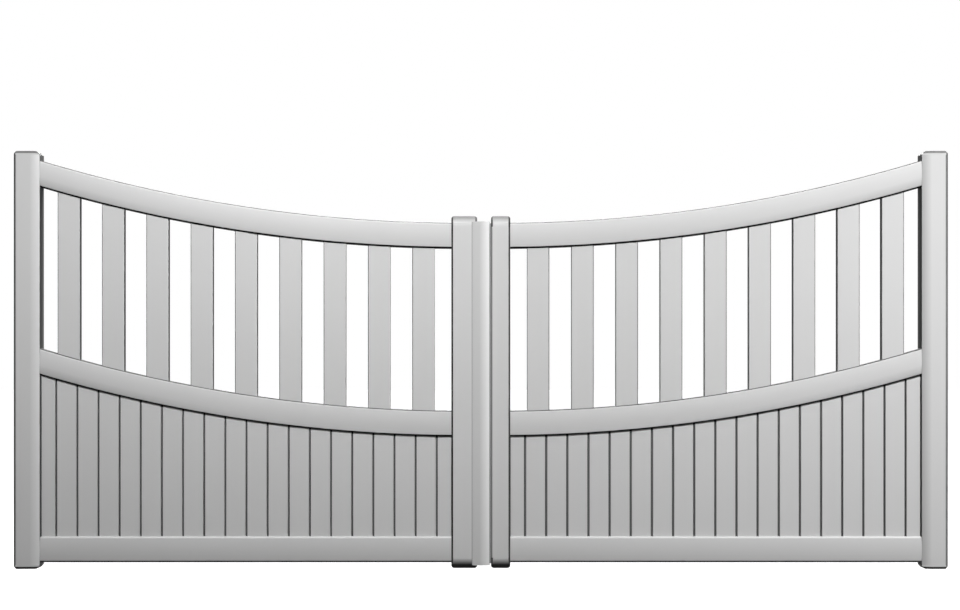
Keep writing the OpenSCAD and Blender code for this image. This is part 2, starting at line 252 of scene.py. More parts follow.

# %% [markdown]
# Painted light and shade. The coat is painted lighter where it turns to the right and up, as if lit from
# there, and painted darker on the tops of the upper rails, on what looks down, on the sides of the bars,
# on the corners that look away from the middle of the gate and along the rims of the caps. The amounts
# are set after the picture. The group reads where a surface is and which way it looks, and lightens or
# darkens the colour it is given.

# %% A group for painted light and shade
gate_end = middle_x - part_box("left_hinge_stile")[0].x
stile_end = middle_x - infill_x1
# painted light and shade: lightens or darkens a colour by the way its surface looks and where it lies
light_and_shade, light_and_shade_in, light_and_shade_out = new_tree(
    "painted_light_and_shade", "ShaderNodeTree",
    {"Colour": (0.6, 0.6, 0.6, 1.0), "Painted brightening": 0.9, "Painted darkening": 0.45, "Corner": 0.92, "Side": 0.75,
     "Top": 0.85, "Top from": 0.42, "Top to": 0.58,
     "Underside": 0.95, "Underside from": -0.3, "Underside to": -0.6,
     "Rim width": 0.006, "Head rim": 0.0, "Head": head_z, "Foot rim": 0.0, "Foot": foot_z,
     "Outer rim": 0.0, "Outer": gate_end, "Inner rim": 0.0, "Inner X": middle_x, "Middle": middle_x},
    {"Colour": "NodeSocketColor"})
spot = put(light_and_shade, "ShaderNodeTexCoord").outputs
looks = put(light_and_shade, "ShaderNodeSeparateXYZ", {"Vector": spot["Normal"]}).outputs
place = put(light_and_shade, "ShaderNodeSeparateXYZ", {"Vector": spot["Object"]}).outputs


def share(value, none_at, all_at, amount=1.0):
    part = first(light_and_shade, "ShaderNodeMapRange", {"Value": value, "From Min": none_at, "From Max": all_at})
    return calc(light_and_shade, "MULTIPLY", part, amount)


print("group", light_and_shade.name, "takes", labels(light_and_shade, "INPUT"))

# %% [markdown]
# Painted shade by direction. Each range below says at which slope or height the painted shade begins and
# where it is full. The flat ends of the gate are left out of the corners, and the bottom rail's top is left
# plain.

# %% Painted shade on corners, sides, tops and undersides
turned_out, not_flat, flat_side, upper_rails = (0.01, 0.12), (1.0, 0.9), (0.65, 0.85), (0.1, 0.35)
from_middle = calc(light_and_shade, "SUBTRACT", place["X"], light_and_shade_in["Middle"])
outward = calc(light_and_shade, "MULTIPLY", looks["X"], calc(light_and_shade, "SIGN", from_middle))
sideways = calc(light_and_shade, "ABSOLUTE", looks["X"])
# darker outward corners, sides, upper tops and undersides: painted shade by the way a surface looks
corner = share(outward, *turned_out, light_and_shade_in["Corner"])
corner = calc(light_and_shade, "MULTIPLY", corner, share(sideways, *not_flat))
side = share(sideways, *flat_side, light_and_shade_in["Side"])
top = share(looks["Z"], light_and_shade_in["Top from"], light_and_shade_in["Top to"], light_and_shade_in["Top"])
top = calc(light_and_shade, "MULTIPLY", top, share(place["Z"], *upper_rails))
under = share(looks["Z"], light_and_shade_in["Underside from"], light_and_shade_in["Underside to"], light_and_shade_in["Underside"])
painted_shades = [corner, side, top, under]
print("films by direction", len(painted_shades))

# %% [markdown]
# Painted shade by place. A rim is a narrow band of painted shade along the head, the foot, the outer or
# the inner edge of a piece.

# %% Painted shade on rims
full_share = 0.7
rim_width = light_and_shade_in["Rim width"]
rim_full = calc(light_and_shade, "MULTIPLY", rim_width, full_share)
from_inner = calc(light_and_shade, "SUBTRACT", place["X"], light_and_shade_in["Inner X"])
inside = {"Head rim": calc(light_and_shade, "SUBTRACT", light_and_shade_in["Head"], place["Z"]),
          "Foot rim": calc(light_and_shade, "SUBTRACT", place["Z"], light_and_shade_in["Foot"]),
          "Outer rim": calc(light_and_shade, "SUBTRACT", light_and_shade_in["Outer"], calc(light_and_shade, "ABSOLUTE", from_middle)),
          "Inner rim": calc(light_and_shade, "ABSOLUTE", from_inner)}
# each rim darkens a band along an edge of the piece: painted shade
for label, distance in inside.items():
    painted_shades.append(share(distance, rim_width, rim_full, light_and_shade_in[label]))
print("films with rims", len(painted_shades))

# %% [markdown]
# Painted light. What turns to the right or, with less weight, up is painted lighter, and what turns away
# is painted darker, both only so far. The darkest painted shade counts, and the others hide under it.

# %% Painted light, and the colour with its painted light and shade
up_weight, most_brightening = 0.42, 0.45
dark = painted_shades[0]
for film in painted_shades[1:]:
    dark = calc(light_and_shade, "MAXIMUM", dark, film)
# painted light: lighter where the surface turns right or up, painted shade where it turns away
painted_brightening = calc(light_and_shade, "ADD", looks["X"], calc(light_and_shade, "MULTIPLY", looks["Z"], up_weight))
painted_brightening = calc(light_and_shade, "MAXIMUM", painted_brightening, calc(light_and_shade, "MULTIPLY", light_and_shade_in["Painted darkening"], -1.0))
painted_brightening = calc(light_and_shade, "MINIMUM", painted_brightening, most_brightening)
brightening_factor = calc(light_and_shade, "ADD", calc(light_and_shade, "MULTIPLY", painted_brightening, light_and_shade_in["Painted brightening"]), 1.0)
kept = calc(light_and_shade, "MULTIPLY", brightening_factor, calc(light_and_shade, "SUBTRACT", 1.0, dark))
light_and_shade.links.new(scaled(light_and_shade, light_and_shade_in["Colour"], kept), light_and_shade_out["Colour"])
print("group", light_and_shade.name, "has", len(light_and_shade.nodes), "nodes")


# %% [markdown]
# Coated finishes. Skin, painted light and shade, and dust are laid over each other, in that order.
# The coat reflects very little, since the picture shows no glints.

# %% The coat as a material
def new_material(name):
    material = bpy.data.materials.new(name)
    material.use_nodes = True
    return material, material.node_tree, material.node_tree.nodes["Principled BSDF"]


def coated(name, paint, film):
    material, tree, shader = new_material(name)
    coat = put(tree, "ShaderNodeGroup", paint, node_tree=skin).outputs
    # painted light and shade laid over the coat's skin
    shaded = put(tree, "ShaderNodeGroup", {"Colour": coat["Colour"], **film}, node_tree=light_and_shade).outputs
    dusty = put(tree, "ShaderNodeGroup", {"Colour": shaded["Colour"], "Roughness": coat["Roughness"]},
                node_tree=dust).outputs
    bump = first(tree, "ShaderNodeBump", {"Strength": 0.25, "Distance": 0.0002, "Height": coat["Height"]})
    fill(tree, shader, {"Base Color": dusty["Colour"], "Roughness": dusty["Roughness"], "Normal": bump,
                        "Specular IOR Level": 0.01})
    return material


print("coats are made by", coated.__name__)

# %% [markdown]
# Frame, rails, plastic caps and strip differ in grey and gloss and in how much painted light and shade
# they get. The nosed caps of the meeting stiles have a rim of painted shade on the side of the gap, too,
# which lies elsewhere on each leaf. The tongues in the joints are painted dark, as shade at the bottom of
# the grooves.

# %% Coated finishes
powder = {"Grey": (0.62, 0.62, 0.62, 1.0), "Gloss": 0.34, "Ripple": 1.0}
plastic = {"Grey": (0.61, 0.61, 0.61, 1.0), "Gloss": 0.38, "Ripple": 0.6}
# dark grey for the joint tongues: painted shade at the bottom of the grooves
joint_shade_grey = {"Grey": (0.13, 0.13, 0.13, 1.0), "Gloss": 0.60, "Ripple": 0.3}
# painted light and shade for the caps: darker tops and rims, lighter faces turned right or up
cap_painted_shading = {"Top": 0.62, "Painted brightening": 0.4}
nose_painted_shading = {**cap_painted_shading, "Top from": 0.26, "Top to": 0.64, "Underside from": -0.08, "Underside to": -0.52,
             "Outer rim": 0.93, "Outer": stile_end, "Inner rim": 0.88, "Rim width": 0.008}
powder_coat = coated("satin_powder_coat", powder, {"Outer rim": 0.72, "Rim width": 0.0115})
rail_coat = coated("rail_powder_coat", powder, {
    "Underside": 0.97, "Underside from": -0.17, "Underside to": -0.32,
    "Foot rim": 0.75, "Foot": rail_low.z, "Rim width": 0.009})
strip_coat = coated("strip_coat", powder, {"Corner": 0.0, "Side": 0.85, "Painted darkening": 0.08})
joint_coat = coated("painted_joint_shade", joint_shade_grey, {})
cap_coat = coated("painted_cap", plastic, {
    **cap_painted_shading, "Head rim": 0.62, "Foot rim": 0.97, "Outer rim": 0.72, "Rim width": 0.0095})
gap_sides = {"left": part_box("left_meeting_stile_top_cap")[1].x,
             "right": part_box("right_meeting_stile_top_cap")[0].x}
nose_coats = {leaf: coated(f"{leaf}_painted_nose_cap", plastic, {**nose_painted_shading, "Inner X": gap_x})
              for leaf, gap_x in gap_sides.items()}
coats = [powder_coat, rail_coat, strip_coat, joint_coat, cap_coat, *nose_coats.values()]
print("coats", [coat.name for coat in coats])

# %% [markdown]
# Zinc. The hinges are steel that was dipped in a zinc bath, so they are metal with cloudy patches,
# duller than polished steel. Noise at two sizes gives the clouds and the fine frost on them.

# %% Zinc-plated steel
def two_tone(tree, factor, dark_tone, light_tone):
    ramp = put(tree, "ShaderNodeValToRGB", {"Fac": factor})
    for element, tone in zip(ramp.color_ramp.elements, (dark_tone, light_tone)):
        element.color = (*tone, 1)
    return ramp.outputs["Color"]


def zinc_plated(name, dark_tone, light_tone, gloss):
    material, tree, shader = new_material(name)
    cloud_size, frost_size, cloud_dulls = 55.0, 900.0, 0.25
    place = on_piece(tree)
    cloud = noise(tree, place, cloud_size, 4.0)
    frost = noise(tree, place, frost_size, 2.0)
    dull = calc(tree, "ADD", calc(tree, "MULTIPLY", cloud, cloud_dulls), gloss)
    dusty = put(tree, "ShaderNodeGroup", {
        "Colour": two_tone(tree, cloud, dark_tone, light_tone), "Roughness": dull}, node_tree=dust).outputs
    bump = first(tree, "ShaderNodeBump", {"Strength": 0.2, "Distance": 0.0001, "Height": frost})
    fill(tree, shader, {"Base Color": dusty["Colour"], "Roughness": dusty["Roughness"], "Normal": bump,
                        "Metallic": 1.0})
    return material


zinc_steel = zinc_plated("zinc_plated_steel", (0.36, 0.38, 0.40), (0.56, 0.57, 0.58), 0.3)
screw_steel = zinc_plated("stainless_screw", (0.48, 0.48, 0.47), (0.62, 0.62, 0.61), 0.2)
print("metals", zinc_steel.name, screw_steel.name)

# %% [markdown]
# Rubber. The seal between the leaves is soft grey rubber, matt, with a faint bloom that comes with age.

# %% Seal rubber
bloom_scale = 30.0
seal_rubber, tree, shader = new_material("grey_seal_rubber")
bloom = noise(tree, on_piece(tree), bloom_scale, 5.0)
fill(tree, shader, {"Base Color": two_tone(tree, bloom, (0.28, 0.28, 0.28), (0.40, 0.40, 0.40)),
                    "Roughness": 0.8, "Specular IOR Level": 0.1})
print("seal", seal_rubber.name)

# %% [markdown]
# The sweep as a rule. Every curved edge of the gate is the same arc, raised or lowered: the top rail's
# upper edge, its underside a rail's height below, the ends of the pickets, the heads of the boards.
# One small geometry group knows the arc. It takes a place across the leaf and a distance below the
# rail's upper edge and gives back a height, so no piece needs a curve of its own.

# %% A group that knows the sweep
sweep, sweep_in, sweep_out = new_tree(
    "sweep_height", "GeometryNodeTree",
    {"X": 0.0, "Below": 0.0, "Centre X": level_x, "Centre Z": top_centre_z, "Radius": sweep_r},
    {"Z": "NodeSocketFloat"})
reach = calc(sweep, "POWER", calc(sweep, "ADD", sweep_in["Radius"], sweep_in["Below"]), 2.0)
aside = calc(sweep, "POWER", calc(sweep, "SUBTRACT", sweep_in["X"], sweep_in["Centre X"]), 2.0)
drop = calc(sweep, "SQRT", calc(sweep, "SUBTRACT", reach, aside))
sweep.links.new(calc(sweep, "SUBTRACT", sweep_in["Centre Z"], drop), sweep_out["Z"])


def height_on_sweep(tree, x, below, centre_z):
    return first(tree, "GeometryNodeGroup", {"X": x, "Below": below, "Centre Z": centre_z}, node_tree=sweep)


print("group", sweep.name, "rises", round(sweep_rise, 4), "over", round(sweep_run, 4))

# %% [markdown]
# Left and right. The leaves are a mirrored pair, so each tree draws the left one and a group turns it into
# the right one when asked: mirrored about the middle of the opening, with its faces turned outward again.
# It also keeps smooth normals on round edges and crisp ones on true corners.

# %% A group that turns a left piece into a right one
crisp_angle = math.radians(34)
hand, hand_in, hand_out = new_tree(
    "hand_of_leaf", "GeometryNodeTree",
    {"Geometry": None, "Right leaf": False, "Opening": opening}, {"Geometry": "NodeSocketGeometry"})
mirrored = first(hand, "GeometryNodeTransform", {
    "Geometry": hand_in["Geometry"], "Translation": vector(hand, X=hand_in["Opening"]), "Scale": (-1, 1, 1)})
turned = first(hand, "GeometryNodeFlipFaces", {"Mesh": mirrored})
chosen = first(hand, "GeometryNodeSwitch", {
    "Switch": hand_in["Right leaf"], "False": hand_in["Geometry"], "True": turned}, input_type="GEOMETRY")
soft = first(hand, "GeometryNodeSetShadeSmooth", {"Geometry": chosen, "Shade Smooth": True})
angle = put(hand, "GeometryNodeInputMeshEdgeAngle").outputs["Unsigned Angle"]
crisp = first(hand, "GeometryNodeSetShadeSmooth", {
    "Geometry": soft, "Selection": calc(hand, "GREATER_THAN", angle, crisp_angle), "Shade Smooth": False},
    domain="EDGE")
hand.links.new(crisp, hand_out["Geometry"])


def end_of_tree(tree, out, geometry, right_leaf, *finishes):
    made = first(tree, "GeometryNodeGroup", {"Geometry": geometry, "Right leaf": right_leaf}, node_tree=hand)
    made = first(tree, "GeometryNodeRealizeInstances", {"Geometry": made})
    for material, where in finishes:
        made = first(tree, "GeometryNodeSetMaterial", {
            "Geometry": made, "Selection": where, "Material": material})
    tree.links.new(made, out["Geometry"])


print("group", hand.name, "mirrors about", round(middle_x, 4))

# %% [markdown]
# Running a tree. A tree is hung on an empty mesh, its sizes are set, and what it makes is kept as a plain
# mesh. The volume is printed, because a mesh that is inside out would show a negative one.

# %% Running a tree
def volume(mesh):
    shape = bmesh.new()
    shape.from_mesh(mesh)
    made = shape.calc_volume(signed=True)
    shape.free()
    return made


def keep_mesh(source, name):
    source.modifiers.new("even_normals", "WEIGHTED_NORMAL").keep_sharp = True
    graph = bpy.context.evaluated_depsgraph_get()
    mesh = bpy.data.meshes.new_from_object(source.evaluated_get(graph), depsgraph=graph)
    source.modifiers.clear()
    bpy.data.objects.remove(source)
    mesh.name = name
    piece = bpy.data.objects.new(name, mesh)
    scene.collection.objects.link(piece)
    return piece


def grow(name, tree, sizes):
    host = bpy.data.objects.new(name + "_host", bpy.data.meshes.new(name + "_host"))
    scene.collection.objects.link(host)
    modifier = host.modifiers.new("tree", "NODES")
    modifier.node_group = tree
    for item in tree.interface.items_tree:
        if item.in_out == "INPUT" and item.name in sizes:
            modifier[item.identifier] = sizes[item.name]
    piece = keep_mesh(host, name)
    print(name, len(piece.data.polygons), "faces, volume", round(volume(piece.data) * 1e6), "cm3")
    return piece


print("trees are run by", grow.__name__, "and kept by", keep_mesh.__name__)

# %% [markdown]
# Bars. Nearly all of the gate is bars of one section, cut to length. These helpers draw a rounded section,
# run it along a path, set copies on points and move points to where they belong.

# %% Helpers for bars
def position(tree):
    return put(tree, "ShaderNodeSeparateXYZ", {"Vector": first(tree, "GeometryNodeInputPosition")}).outputs


def rectangle(tree, width, height):
    return first(tree, "GeometryNodeCurvePrimitiveQuadrilateral", {"Width": width, "Height": height})


def rounded(tree, width, height, radius, steps):
    return first(tree, "GeometryNodeFilletCurve", {
        "Curve": rectangle(tree, width, height), "Count": steps, "Radius": radius}, mode="POLY")


def line(tree, start, end):
    return first(tree, "GeometryNodeCurvePrimitiveLine", {"Start": start, "End": end})


def extruded(tree, path, section):
    return first(tree, "GeometryNodeCurveToMesh", {"Curve": path, "Profile Curve": section, "Fill Caps": True})


def row_of(tree, count, start, step):
    return first(tree, "GeometryNodeMeshLine", {"Count": count, "Start Location": start, "Offset": step})


def set_on(tree, points, piece, turn=(0, 0, 0)):
    placed = first(tree, "GeometryNodeInstanceOnPoints", {"Points": points, "Instance": piece, "Rotation": turn})
    return first(tree, "GeometryNodeRealizeInstances", {"Geometry": placed})


def moved(tree, geometry, x, y, z):
    return first(tree, "GeometryNodeSetPosition", {"Geometry": geometry, "Position": vector(tree, X=x, Y=y, Z=z)})


def lifted_by(tree, geometry, offset):
    return first(tree, "GeometryNodeTransform", {"Geometry": geometry, "Translation": offset})


def joined(tree, *parts):
    node = put(tree, "GeometryNodeJoinGeometry")
    for part in parts:
        tree.links.new(part, node.inputs["Geometry"])
    return node.outputs[0]


print("bars are drawn by", [helper.__name__ for helper in (rounded, extruded, set_on, moved, joined)])

# %% [markdown]
# Rails. A real rail is an extruded bar, crowned a little on its faces, that a roller bends to the sweep.
# The tree does the same: a rounded section is drawn, its faces are bulged, it is run straight from
# stile to stile, and then each point is lifted to the arc at its own distance from the upper edge.
# The ends stay upright, as a saw cuts them to meet the stile. The bottom rail leaves the lift out.

# %% The rail tree
rail, rail_in, rail_out = new_tree(
    "swept_rail", "GeometryNodeTree",
    {"Start": infill_x0, "End": infill_x1, "Height": rail_h, "Depth": rail_d, "Edge radius": 0.007,
     "Crown": 0.0025, "Upper edge": 0.0, "Swept": True, "Centre Z": top_centre_z, "Right leaf": False},
    {"Geometry": "NodeSocketGeometry"})
edge_steps, section_points, run_points = 10, 132, 97
flat_depth = calc(rail, "SUBTRACT", rail_in["Depth"], calc(rail, "MULTIPLY", rail_in["Crown"], 2.0))
half_height = calc(rail, "MULTIPLY", rail_in["Height"], 0.5)
section = rounded(rail, flat_depth, rail_in["Height"], rail_in["Edge radius"], edge_steps)
section = first(rail, "GeometryNodeResampleCurve", {"Curve": section, "Count": section_points}, mode="COUNT")
spot = position(rail)
across = calc(rail, "DIVIDE", spot["Y"], calc(rail, "SUBTRACT", half_height, rail_in["Edge radius"]))
swell = calc(rail, "MAXIMUM", calc(rail, "SUBTRACT", 1.0, calc(rail, "MULTIPLY", across, across)), 0.0)
side = calc(rail, "DIVIDE", spot["X"], calc(rail, "MULTIPLY", flat_depth, 0.5))
bulge = calc(rail, "MULTIPLY", calc(rail, "MULTIPLY", swell, side), rail_in["Crown"])
section = first(rail, "GeometryNodeSetPosition", {"Geometry": section, "Offset": vector(rail, X=bulge)})
run = line(rail, vector(rail, X=rail_in["Start"]), vector(rail, X=rail_in["End"]))
run = first(rail, "GeometryNodeResampleCurve", {"Curve": run, "Count": run_points}, mode="COUNT")
bar = extruded(rail, run, section)
print("tree", rail.name, "draws a bar", round(infill_x1 - infill_x0, 4), "long")

# %% [markdown]
# Bending. Each point knows how far it lies below the rail's upper edge, and the sweep group gives the
# height for that distance. The rail keeps its height along the radius, as a bent bar does.

# %% Lift the bar to the sweep
below = calc(rail, "SUBTRACT", half_height, spot["Z"])
on_arc = height_on_sweep(rail, spot["X"], below, rail_in["Centre Z"])
on_level = calc(rail, "SUBTRACT", rail_in["Upper edge"], below)
lifted = first(rail, "GeometryNodeSwitch", {
    "Switch": rail_in["Swept"], "False": on_level, "True": on_arc}, input_type="FLOAT")
bent = moved(rail, bar, spot["X"], calc(rail, "ADD", spot["Y"], leaf_mid), lifted)
end_of_tree(rail, rail_out, bent, rail_in["Right leaf"], (rail_coat, True))

for leaf in ("left", "right"):
    for level, sizes in {"top": {"Centre Z": top_centre_z}, "middle": {"Centre Z": middle_centre_z},
                         "bottom": {"Swept": False, "Upper edge": rail_high.z}}.items():
        piece = grow(f"{leaf}_rail_{level}", rail, {**sizes, "Right leaf": leaf == "right"})
        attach(piece, f"{leaf}_leaf")
        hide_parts(f"{leaf}_{level}_rail")

# %% [markdown]
# Pickets. Nine flat bars stand in each leaf, cut to length at the slope of the rails and let into them
# by a short tenon. A line of points carries one bar each, one metre tall, and the bar's foot and
# head are then pulled to the middle and the top rail.

# %% The picket tree
tenon, picket_steps = 0.012, 6
pickets, pickets_in, pickets_out = new_tree(
    "picket_row", "GeometryNodeTree",
    {"Count": 9, "Pitch": 0.1645, "Width": 0.083, "Depth": 0.022, "Edge radius": 0.003, "Tenon": tenon,
     "Rail height": rail_h, "Middle centre Z": middle_centre_z, "Top centre Z": top_centre_z,
     "Right leaf": False},
    {"Geometry": "NodeSocketGeometry"})
section = rounded(pickets, pickets_in["Width"], pickets_in["Depth"], pickets_in["Edge radius"], picket_steps)
bar = extruded(pickets, line(pickets, (0, 0, 0), (0, 0, 1)), section)
half_row = calc(pickets, "MULTIPLY", calc(pickets, "SUBTRACT", pickets_in["Count"], 1.0), 0.5)
first_x = calc(pickets, "SUBTRACT", infill_mid, calc(pickets, "MULTIPLY", half_row, pickets_in["Pitch"]))
row = row_of(pickets, pickets_in["Count"], vector(pickets, X=first_x, Y=leaf_mid),
             vector(pickets, X=pickets_in["Pitch"]))
standing = set_on(pickets, row, bar)
print("tree", pickets.name, "sets a bar on each point, tenon", tenon)

# %% [markdown]
# Cutting. A fitter holds each picket against the rails and marks the slope on it. Here the foot and the
# head follow the two arcs at every corner of the bar, a tenon's length inside the rails.

# %% Cut the pickets to the rails
spot = position(pickets)
foot = height_on_sweep(pickets, spot["X"], pickets_in["Tenon"], pickets_in["Middle centre Z"])
let_in = calc(pickets, "SUBTRACT", pickets_in["Rail height"], pickets_in["Tenon"])
head = height_on_sweep(pickets, spot["X"], let_in, pickets_in["Top centre Z"])
cut = first(pickets, "ShaderNodeMapRange", {"Value": spot["Z"], "To Min": foot, "To Max": head})
fitted = moved(pickets, standing, spot["X"], spot["Y"], cut)
end_of_tree(pickets, pickets_out, fitted, pickets_in["Right leaf"], (powder_coat, True))

for leaf in ("left", "right"):
    piece = grow(f"{leaf}_picket_row", pickets, {"Right leaf": leaf == "right"})
    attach(piece, f"{leaf}_leaf")
    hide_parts(f"{leaf}_pickets")

# %% [markdown]
# Boards. Twenty upright boards fill the lower part, each with a tongue that reaches into the next,
# and the bevelled edges leave a dark line 5 mm wide between them, dark from painted shade on the tongue.
# The two end boards are ripped narrower to meet the stiles. Each board is one bar, and its place in the
# row is stored on it, so that its two long edges can be moved later and the bevel keeps its size on the
# narrow boards too.

# %% The board tree
board_play = 0.0003
boards, boards_in, boards_out = new_tree(
    "board_panel", "GeometryNodeTree",
    {"Count": 20, "Pitch": 0.0785, "Depth": 0.015, "Joint": 0.005, "Bevel": 0.002, "Tongue depth": 0.004,
     "Tongue back": 0.003, "Foot": rail_high.z - tenon, "Start": infill_x0 + board_play,
     "End": infill_x1 - board_play, "Head below": rail_h - tenon, "Centre Z": middle_centre_z,
     "Right leaf": False},
    {"Geometry": "NodeSocketGeometry"})
full_w = calc(boards, "SUBTRACT", boards_in["Pitch"], boards_in["Joint"])
stick = line(boards, (0, 0, 0), (0, 0, 1))
board = extruded(boards, stick, rounded(boards, full_w, boards_in["Depth"], boards_in["Bevel"], 1))
half_row = calc(boards, "MULTIPLY", calc(boards, "SUBTRACT", boards_in["Count"], 1.0), 0.5)
step = vector(boards, X=boards_in["Pitch"])
first_x = calc(boards, "SUBTRACT", infill_mid, calc(boards, "MULTIPLY", half_row, boards_in["Pitch"]))
row = row_of(boards, boards_in["Count"], vector(boards, X=first_x, Y=leaf_mid), step)
spot = position(boards)
marked = first(boards, "GeometryNodeStoreNamedAttribute", {
    "Geometry": row, "Name": "board_middle", "Value": spot["X"]})
standing = set_on(boards, marked, board)
print("tree", boards.name, "sets the boards between", round(infill_x0, 4), "and", round(infill_x1, 4))

# %% [markdown]
# Ripping. The row of boards is a little wider than the room between the stiles, so the outer boards are
# ripped on the saw. A field holds the outer edges back at the stiles and leaves all others where they are.

# %% Move each board's edges to its joints
middle = put(boards, "GeometryNodeInputNamedAttribute", {"Name": "board_middle"}).outputs["Attribute"]
half_w = calc(boards, "MULTIPLY", full_w, 0.5)
left_edge = calc(boards, "MAXIMUM", calc(boards, "SUBTRACT", middle, half_w), boards_in["Start"])
right_edge = calc(boards, "MINIMUM", calc(boards, "ADD", middle, half_w), boards_in["End"])
off_middle = calc(boards, "SUBTRACT", spot["X"], middle)
from_left = calc(boards, "ADD", left_edge, calc(boards, "ADD", off_middle, half_w))
from_right = calc(boards, "ADD", right_edge, calc(boards, "SUBTRACT", off_middle, half_w))
on_right = calc(boards, "GREATER_THAN", off_middle, 0.0)
board_x = first(boards, "GeometryNodeSwitch", {
    "Switch": on_right, "False": from_left, "True": from_right}, input_type="FLOAT")
ripped = moved(boards, standing, board_x, spot["Y"], spot["Z"])
print("boards ripped at the stiles, with a play of", board_play)

# %% [markdown]
# Tongues and heads. The tongue of a board closes the joint behind the bevels, a few millimetres back, and
# is marked so that it gets the dark grey of painted shade. The heads are scribed to the underside of the
# middle rail and stand in its groove, and the feet stand in the bottom rail.

# %% Add the tongues and scribe the heads to the middle rail
tongue_grip = 0.0006
tongue_w = calc(boards, "ADD", boards_in["Joint"], tongue_grip)
tongue = extruded(boards, stick, rectangle(boards, tongue_w, boards_in["Tongue depth"]))
tongue_x = calc(boards, "ADD", first_x, calc(boards, "MULTIPLY", boards_in["Pitch"], 0.5))
tongue_y = calc(boards, "ADD", boards_in["Tongue back"], leaf_mid)
joints = row_of(boards, calc(boards, "SUBTRACT", boards_in["Count"], 1.0),
                vector(boards, X=tongue_x, Y=tongue_y), step)
tongues = first(boards, "GeometryNodeStoreNamedAttribute", {
    "Geometry": set_on(boards, joints, tongue), "Name": "in_joint", "Value": 1.0}, domain="FACE")
head = height_on_sweep(boards, spot["X"], boards_in["Head below"], boards_in["Centre Z"])
cut = first(boards, "ShaderNodeMapRange", {"Value": spot["Z"], "To Min": boards_in["Foot"], "To Max": head})
scribed = moved(boards, joined(boards, ripped, tongues), spot["X"], spot["Y"], cut)
in_joint = put(boards, "GeometryNodeInputNamedAttribute", {"Name": "in_joint"}).outputs["Attribute"]
# the tongues get joint_coat, painted shade for the bottom of the joints
end_of_tree(boards, boards_out, scribed, boards_in["Right leaf"], (powder_coat, True), (joint_coat, in_joint))

for leaf in ("left", "right"):
    piece = grow(f"{leaf}_board_panel", boards, {"Right leaf": leaf == "right"})
    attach(piece, f"{leaf}_leaf")
    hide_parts(f"{leaf}_boards")

# %% [markdown]
# Stiles, caps, strip and hinges. Their solids have the right shape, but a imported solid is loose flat
# triangles, and its round edges would show as facets. A copy of each is merged, and smooth normals
# are kept on the small steps of a rounding, while true corners stay crisp.

# %% Smooth copies of the solids
def smooth_copy(node_name, material):
    same_point, same_plane = 2e-6, math.radians(0.3)
    shape = bmesh.new()
    shape.from_mesh(nodes[node_name].data)
    bmesh.ops.remove_doubles(shape, verts=shape.verts, dist=same_point)
    bmesh.ops.dissolve_limit(shape, angle_limit=same_plane, verts=shape.verts, edges=shape.edges)
    for face in shape.faces:
        face.smooth = True
    for edge in shape.edges:
        edge.smooth = edge.calc_face_angle(0.0) < crisp_angle
    mesh = bpy.data.meshes.new(node_name + "_smooth")
    shape.to_mesh(mesh)
    shape.free()
    mesh.materials.append(material)
    host = bpy.data.objects.new(node_name + "_host", mesh)
    scene.collection.objects.link(host)
    piece = keep_mesh(host, node_name + "_smooth")
    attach(piece, body_of(nodes[node_name])[0])
    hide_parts(node_name)


for leaf in ("left", "right"):
    for stile, coat in {"hinge_stile": cap_coat, "meeting_stile": nose_coats[leaf]}.items():
        smooth_copy(f"{leaf}_{stile}", powder_coat)
        smooth_copy(f"{leaf}_{stile}_top_cap", coat)
        smooth_copy(f"{leaf}_{stile}_foot_cap", coat)
    for level in ("lower", "upper"):
        smooth_copy(f"{leaf}_{level}_strap", zinc_steel)
        smooth_copy(f"{leaf}_{level}_bracket", zinc_steel)
smooth_copy("cover_strip", strip_coat)

# %% [markdown]
# Screws. Each hinge strap is held to the back of the stile by four hexagon screws with a flange.
# The head is turned from a flange, a hexagon and a domed top, and the tree sets one on each point.

# %% The screw tree
hole_inset, strap_thickness = 0.011, 0.006
strap_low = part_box("left_lower_strap")[0]
screws, screws_in, screws_out = new_tree(
    "strap_screws", "GeometryNodeTree",
    {"Left": strap_low.x + hole_inset, "Apart": 0.028, "Up": 0.044, "Seat": strap_low.y + strap_thickness,
     "Hinge Z": 0.0, "Flange radius": 0.0085, "Flange height": 0.0014, "Head radius": 0.0066,
     "Head height": 0.0046, "Right leaf": False},
    {"Geometry": "NodeSocketGeometry"})
dome_foot, dome_top, dome_height = 0.86, 0.62, 0.0007
flange = first(screws, "GeometryNodeMeshCone", {
    "Vertices": 32, "Radius Bottom": screws_in["Flange radius"], "Radius Top": screws_in["Head radius"],
    "Depth": screws_in["Flange height"]})
hexagon = first(screws, "GeometryNodeMeshCylinder", {
    "Vertices": 6, "Radius": screws_in["Head radius"], "Depth": screws_in["Head height"]})
hexagon = lifted_by(screws, hexagon, vector(screws, Z=calc(screws, "MULTIPLY", screws_in["Head height"], 0.5)))
dome = first(screws, "GeometryNodeMeshCone", {
    "Vertices": 24, "Radius Bottom": calc(screws, "MULTIPLY", screws_in["Head radius"], dome_foot),
    "Radius Top": calc(screws, "MULTIPLY", screws_in["Head radius"], dome_top), "Depth": dome_height})
dome = lifted_by(screws, dome, vector(screws, Z=screws_in["Head height"]))
screw = joined(screws, flange, hexagon, dome)
print("tree", screws.name, "turns a head from three parts")

# %% [markdown]
# Driving. The number of a point tells its corner of the strap: odd ones lie to the right and the last two
# above the hinge. The heads look backward, since the strap is screwed on from the yard.

